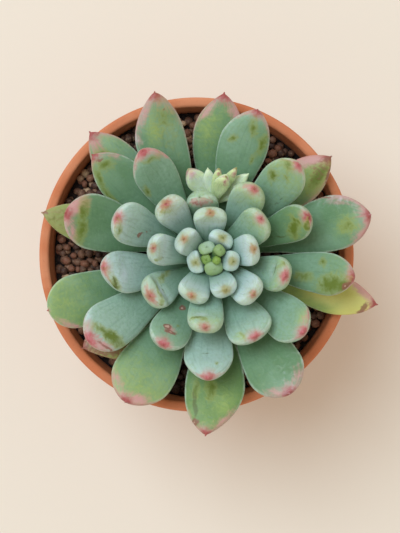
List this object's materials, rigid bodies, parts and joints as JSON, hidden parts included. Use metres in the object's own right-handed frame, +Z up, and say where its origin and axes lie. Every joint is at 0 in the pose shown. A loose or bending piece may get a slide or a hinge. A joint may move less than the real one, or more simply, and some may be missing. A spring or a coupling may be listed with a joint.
{
  "type": "potted succulent",
  "caption": "Rosette succulent with thick blue-green, red-tipped leaves and a small side shoot, in a round terracotta pot filled with clay granules.",
  "frame": {"origin": "point of the ground under the middle of the whole object, with the leaves counted; the pot axis is 3.5 mm to -X and 2.7 mm to +Y of it", "axes": "+Z up, along the pot axis; -Y faces whoever holds the picture upright, which was taken straight down, and +X is its right"},
  "size_m": [0.1175, 0.117, 0.132],
  "materials": {
    "terracotta": "matte",
    "clay_granules": "matte",
    "young_leaf": "satin",
    "grown_leaf": "satin"
  },
  "bodies": {
    "root": {"leaf_17": "grown_leaf", "leaf_18": "grown_leaf", "leaf_19": "grown_leaf", "leaf_20": "grown_leaf", "leaf_21": "grown_leaf", "leaf_22": "grown_leaf", "leaf_23": "grown_leaf", "leaf_24": "grown_leaf", "leaf_25": "grown_leaf", "leaf_26": "grown_leaf", "leaf_27": "grown_leaf", "leaf_28": "grown_leaf", "leaf_29": "grown_leaf", "leaf_30": "grown_leaf", "leaf_31": "grown_leaf", "leaf_32": "grown_leaf", "leaf_33": "grown_leaf", "leaf_34": "grown_leaf", "leaf_35": "grown_leaf", "leaf_36": "grown_leaf", "leaf_37": "grown_leaf", "leaf_38": "grown_leaf", "leaf_40": "grown_leaf", "leaf_42": "grown_leaf", "leaf_43": "grown_leaf", "leaf_46": "grown_leaf", "leaf_48": "grown_leaf", "leaf_49": "grown_leaf", "leaf_52": "grown_leaf", "leaf_53": "grown_leaf", "leaf_56": "grown_leaf", "main_stem_and_heart": "young_leaf", "pot": "terracotta", "side_shoot": "young_leaf", "soil": "clay_granules"}
  },
  "joints": []
}
